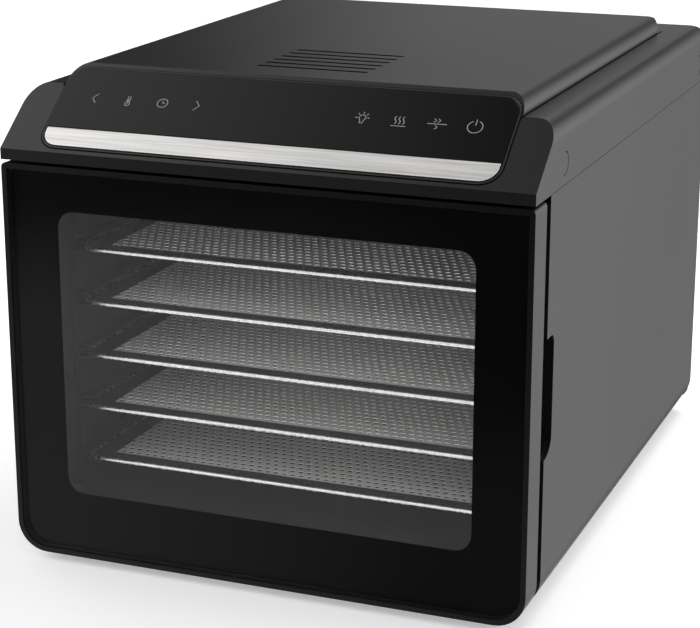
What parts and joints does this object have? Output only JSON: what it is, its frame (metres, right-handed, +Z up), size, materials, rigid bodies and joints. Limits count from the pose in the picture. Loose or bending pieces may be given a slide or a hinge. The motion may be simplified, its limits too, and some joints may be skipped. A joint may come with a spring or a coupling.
{
  "type": "food dehydrator",
  "caption": "Box-shaped table-top food dehydrator with a side-hinged glass door, sliding mesh trays, a sloping touch panel, a vented raised top and a fan heater.",
  "frame": {"origin": "on the table, under the middle of the object's box", "axes": "+Z up, +Y from the door to the rear panel, +X to the right seen from the front"},
  "size_m": [0.345, 0.456, 0.319],
  "materials": {
    "housing_plastic": "satin black with a very fine moulded grain",
    "black_trim": "smooth dark satin",
    "panel_glass": "high gloss black, light grey symbols",
    "door_glass": "smoked clear window in a glossy black surround",
    "brushed_strip": "brushed along its length",
    "steel": "plain zinc finish",
    "tray_wire": "bright steel wire",
    "tray_mesh": "woven steel wire",
    "chamber_metal": "dark grey satin enamel",
    "rubber": "soft matte",
    "fan_plastic": "heat-proof moulding, fine grain",
    "heater_metal": "heat-tinted sheath",
    "motor_metal": "plain pressed metal",
    "circuit_board": "lacquered board",
    "lamp_lens": "frosted lens",
    "display": "dark window"
  },
  "bodies": {
    "housing": {"outer_shell": "housing_plastic", "rear_panel": "housing_plastic", "top_cover": "housing_plastic", "side_cap_front_left": "housing_plastic", "side_cap_front_right": "housing_plastic", "side_cap_rear_left": "housing_plastic", "side_cap_rear_right": "housing_plastic", "front_frame": "black_trim", "finger_cup": "black_trim", "panel_bezel": "black_trim", "panel_glass": "panel_glass", "trim_strip": "brushed_strip", "rear_screw_1": "steel", "rear_screw_2": "steel", "rear_screw_3": "steel", "rear_screw_4": "steel", "hinge_bracket_lower": "steel", "hinge_bracket_upper": "steel", "catch_plate": "steel", "motor_bracket": "steel", "chamber_liner": "chamber_metal", "rail_left": "chamber_metal", "rail_right": "chamber_metal", "fan_grille": "chamber_metal", "fan_shroud": "chamber_metal", "heater_clip_left": "chamber_metal", "heater_clip_right": "chamber_metal", "foot_front_left": "rubber", "foot_front_right": "rubber", "foot_rear_left": "rubber", "foot_rear_right": "rubber", "cord_gland": "rubber", "exhaust_duct": "fan_plastic", "heater_tube": "heater_metal", "motor_body": "motor_metal", "thermal_cutout": "motor_metal", "temperature_sensor": "motor_metal", "touch_board": "circuit_board", "power_board": "circuit_board", "chamber_lamp": "lamp_lens", "display_module": "display"},
    "door": {"door_frame": "housing_plastic", "door_glass": "door_glass", "door_retainer": "black_trim", "door_gasket": "rubber", "door_magnet": "motor_metal", "hinge_pin_lower": "steel", "hinge_pin_upper": "steel"},
    "fan": {"fan_rotor": "fan_plastic", "motor_shaft": "steel"},
    "tray_1": {"tray_frame_1": "tray_wire", "tray_mesh_1": "tray_mesh"},
    "tray_2": {"tray_frame_2": "tray_wire", "tray_mesh_2": "tray_mesh"},
    "tray_3": {"tray_frame_3": "tray_wire", "tray_mesh_3": "tray_mesh"},
    "tray_4": {"tray_frame_4": "tray_wire", "tray_mesh_4": "tray_mesh"},
    "tray_5": {"tray_frame_5": "tray_wire", "tray_mesh_5": "tray_mesh"}
  },
  "joints": [
    {"name": "door_hinge", "type": "hinge", "parent": "housing", "child": "door", "pos_m": [-0.165, -0.215, 0.135], "axis": [0, 0, -1], "range_deg": [0, 110]},
    {"name": "fan_spin", "type": "hinge", "parent": "housing", "child": "fan", "pos_m": [0, 0.153, 0.143], "axis": [0, 1, 0], "continuous": true},
    {"name": "tray_1_slide", "type": "slide", "parent": "housing", "child": "tray_1", "axis": [0, -1, 0], "range_m": [0, 0.06]},
    {"name": "tray_2_slide", "type": "slide", "parent": "housing", "child": "tray_2", "axis": [0, -1, 0], "range_m": [0, 0.06]},
    {"name": "tray_3_slide", "type": "slide", "parent": "housing", "child": "tray_3", "axis": [0, -1, 0], "range_m": [0, 0.06]},
    {"name": "tray_4_slide", "type": "slide", "parent": "housing", "child": "tray_4", "axis": [0, -1, 0], "range_m": [0, 0.06]},
    {"name": "tray_5_slide", "type": "slide", "parent": "housing", "child": "tray_5", "axis": [0, -1, 0], "range_m": [0, 0.06]}
  ],
  "couplings": [
    {"joint": "tray_1_slide", "follows": "door_hinge", "m_per_rad": 0.031},
    {"joint": "tray_2_slide", "follows": "door_hinge", "m_per_rad": 0.031},
    {"joint": "tray_3_slide", "follows": "door_hinge", "m_per_rad": 0.031},
    {"joint": "tray_4_slide", "follows": "door_hinge", "m_per_rad": 0.031},
    {"joint": "tray_5_slide", "follows": "door_hinge", "m_per_rad": 0.031}
  ]
}
